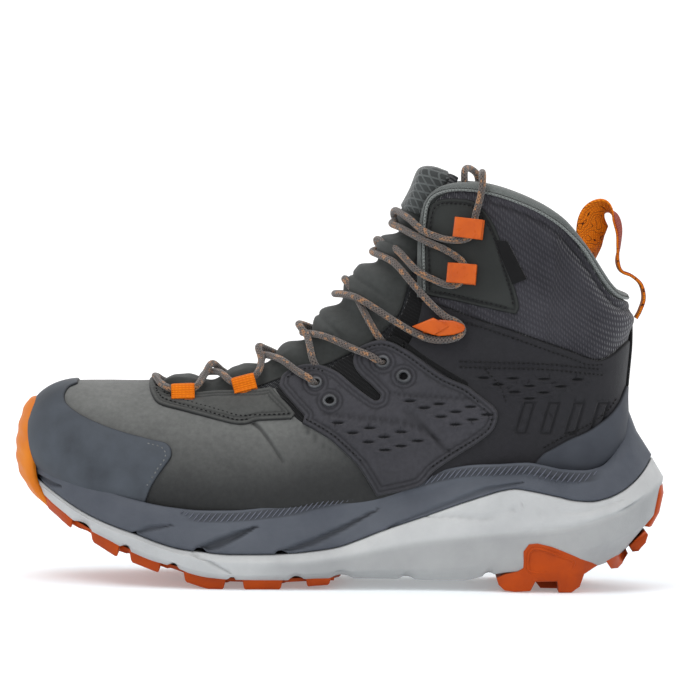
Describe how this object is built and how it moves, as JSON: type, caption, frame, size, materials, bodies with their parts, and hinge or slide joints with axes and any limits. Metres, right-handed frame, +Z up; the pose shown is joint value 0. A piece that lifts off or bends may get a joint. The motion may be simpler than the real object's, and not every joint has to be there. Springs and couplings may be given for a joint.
{
  "type": "hiking boot",
  "caption": "Mid-height laced hiking boot for the left foot, with padded collar, gusset tongue, hooks, cushioned midsole, lugged outsole and heel pull loop.",
  "frame": {"origin": "middle of the boot's box on the ground under the lugs", "axes": "+Z up, -X towards the toe, -Y towards the outer side of the foot"},
  "size_m": [0.313, 0.117, 0.2028],
  "materials": {
    "outsole": "moulded rubber, matt",
    "midsole_light": "moulded foam, fine grain",
    "midsole_dark": "moulded foam, fine grain",
    "board": "stitched board",
    "stiffener": "thermoplastic sheet",
    "lining": "knitted lining on a membrane",
    "nubuck_green_grey": "nubuck",
    "nubuck_charcoal": "nubuck",
    "textile": "open weave",
    "foam": "soft foam",
    "binding": "knitted binding",
    "toe_cap": "rubberised leather, matt",
    "facing": "nubuck",
    "label": "woven label",
    "eyelet_metal": "satin",
    "webbing": "woven webbing",
    "hook": "satin paint",
    "lace": "round braid",
    "aglet": "clear-coated tip",
    "tongue_lining": "knitted lining",
    "tongue_shell": "padded nubuck and textile",
    "footbed": "moulded foam with a fabric top"
  },
  "bodies": {
    "boot": {"outsole_forefoot": "outsole", "outsole_heel": "outsole", "toe_bumper": "outsole", "midsole_lower": "midsole_light", "midsole_upper": "midsole_dark", "strobel_board": "board", "toe_puff": "stiffener", "heel_counter": "stiffener", "lining_sock": "lining", "vamp": "nubuck_green_grey", "rear_quarter_lateral": "nubuck_charcoal", "rear_quarter_medial": "nubuck_charcoal", "collar_textile": "textile", "collar_foam": "foam", "collar_binding": "binding", "toe_cap": "toe_cap", "eyestay": "nubuck_green_grey", "saddle_lateral": "nubuck_charcoal", "saddle_medial": "nubuck_charcoal", "heel_foxing": "toe_cap", "backstay": "textile", "facing_lateral": "facing", "facing_medial": "facing", "side_label": "label", "eyelets_lateral": "eyelet_metal", "eyelets_medial": "eyelet_metal", "lace_loop_lateral_1": "webbing", "lace_loop_lateral_2": "webbing", "lace_loop_medial_1": "webbing", "lace_loop_medial_2": "webbing", "lock_hook_lateral": "hook", "lock_hook_medial": "hook", "speed_hook_lateral_1": "hook", "speed_hook_lateral_2": "hook", "speed_hook_medial_1": "hook", "speed_hook_medial_2": "hook", "lace_lateral": "lace", "lace_medial": "lace", "aglet_lateral": "aglet", "aglet_medial": "aglet"},
    "tongue": {"tongue_pad": "tongue_lining", "tongue_cover": "tongue_shell"},
    "footbed": {"footbed": "footbed"},
    "heel_loop": {"heel_loop": "webbing"}
  },
  "joints": [
    {"name": "tongue_fold", "type": "hinge", "parent": "boot", "child": "tongue", "pos_m": [-0.087, 0, 0.092], "axis": [0, 1, 0], "range_deg": [0, 10], "stiffness_Nm_per_rad": 0.4},
    {"name": "footbed_lift", "type": "slide", "parent": "boot", "child": "footbed", "axis": [0, 0, 1], "range_m": [0, 0.008]},
    {"name": "heel_loop_swing", "type": "hinge", "parent": "boot", "child": "heel_loop", "pos_m": [0.1305, 0, 0.1367], "axis": [0.8832, 0, -0.4691], "range_deg": [-18, 18]}
  ]
}
